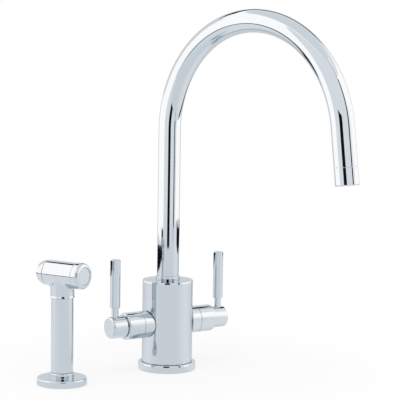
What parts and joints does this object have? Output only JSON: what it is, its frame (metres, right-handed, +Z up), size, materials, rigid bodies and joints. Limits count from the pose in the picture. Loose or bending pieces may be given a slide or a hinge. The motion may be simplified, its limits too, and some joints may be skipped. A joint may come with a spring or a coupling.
{
  "type": "side spray kitchen faucet",
  "caption": "Deck-mounted kitchen faucet: two side levers, a swivelling high-arch spout, and a separate pull-out side spray in its own deck holder.",
  "frame": {"origin": "where the mixer's vertical axis meets the top of the deck", "axes": "+Z up along the mixer's axis, -Y towards the user, the two arms along X with hot at -X"},
  "size_m": [0.2154, 0.2524, 0.4119],
  "materials": {
    "chrome": "polished chrome plate on brass",
    "brass": "machined brass, unplated",
    "steel": "zinc-plated or stainless steel",
    "rubber": "matt black rubber",
    "plastic": "moulded acetal",
    "dark_plastic": "moulded dark grey acetal",
    "ceramic": null
  },
  "bodies": {
    "deck_fixed": {"base_flange": "chrome", "base_seal": "rubber", "mixer_shank": "brass", "rubber_washer": "rubber", "steel_washer": "steel", "mixer_backnut": "brass", "mixer_body": "chrome", "spout_retaining_screw": "steel", "spray_hose_tail": "brass", "hot_valve_seal": "rubber", "hot_valve_housing": "brass", "hot_fixed_disc": "ceramic", "hot_valve_sleeve": "chrome", "cold_valve_seal": "rubber", "cold_valve_housing": "brass", "cold_fixed_disc": "ceramic", "cold_valve_sleeve": "chrome", "diverter_housing": "brass", "diverter_spring": "steel", "spray_flange": "chrome", "spray_seal": "rubber", "spray_shank": "brass", "spray_bush": "dark_plastic", "spray_steel_washer": "steel", "spray_backnut": "brass"},
    "spout": {"spout_spigot": "chrome", "spout_slip_ring": "dark_plastic", "spout_oring_lower": "rubber", "spout_oring_upper": "rubber", "spout_tube": "chrome", "outlet_collar": "chrome", "aerator_washer": "rubber", "aerator_insert": "plastic"},
    "hot_handle": {"hot_moving_disc": "ceramic", "hot_spindle": "brass", "hot_spindle_oring": "rubber", "hot_handle_hub": "chrome", "hot_grub_screw": "steel", "hot_lever": "chrome"},
    "cold_handle": {"cold_moving_disc": "ceramic", "cold_spindle": "brass", "cold_spindle_oring": "rubber", "cold_handle_hub": "chrome", "cold_grub_screw": "steel", "cold_lever": "chrome"},
    "diverter": {"diverter_piston": "plastic"},
    "spray_tail": {"spray_swivel_nipple": "brass", "spray_nipple_oring": "rubber"},
    "spray": {"spray_handle": "chrome", "spray_nipple_clip": "steel", "spray_head": "chrome", "spray_end_cap": "chrome", "spray_nose": "chrome", "spray_nozzle_plate": "dark_plastic", "spray_valve_seat": "plastic", "spray_valve_spring": "steel"},
    "spray_trigger": {"spray_button": "chrome", "spray_valve_stem": "brass", "spray_stem_oring": "rubber"}
  },
  "joints": [
    {"name": "spout_swivel", "type": "hinge", "parent": "deck_fixed", "child": "spout", "pos_m": [0, 0, 0.09], "axis": [0, 0, 1], "continuous": true},
    {"name": "hot_lever_turn", "type": "hinge", "parent": "deck_fixed", "child": "hot_handle", "pos_m": [-0.0609, 0, 0.0468], "axis": [1, 0, 0], "range_deg": [0, 90]},
    {"name": "cold_lever_turn", "type": "hinge", "parent": "deck_fixed", "child": "cold_handle", "pos_m": [0.0609, 0, 0.0468], "axis": [1, 0, 0], "range_deg": [0, 90]},
    {"name": "diverter_lift", "type": "slide", "parent": "deck_fixed", "child": "diverter", "axis": [0, 0, 1], "range_m": [0, 0.004], "stiffness_N_per_m": 150, "springref_m": -0.003, "deforming": ["diverter_spring"]},
    {"name": "spray_lift", "type": "slide", "parent": "deck_fixed", "child": "spray_tail", "axis": [0, 0, 1], "range_m": [0, 0.25]},
    {"name": "spray_swivel", "type": "hinge", "parent": "spray_tail", "child": "spray", "pos_m": [-0.1241, -0.0082, 0.05], "axis": [0, 0, 1], "continuous": true},
    {"name": "spray_button_press", "type": "slide", "parent": "spray", "child": "spray_trigger", "axis": [-0.3795, 0.9252, 0], "range_m": [0, 0.0025], "stiffness_N_per_m": 600, "springref_m": -0.005, "deforming": ["spray_valve_spring"]}
  ]
}
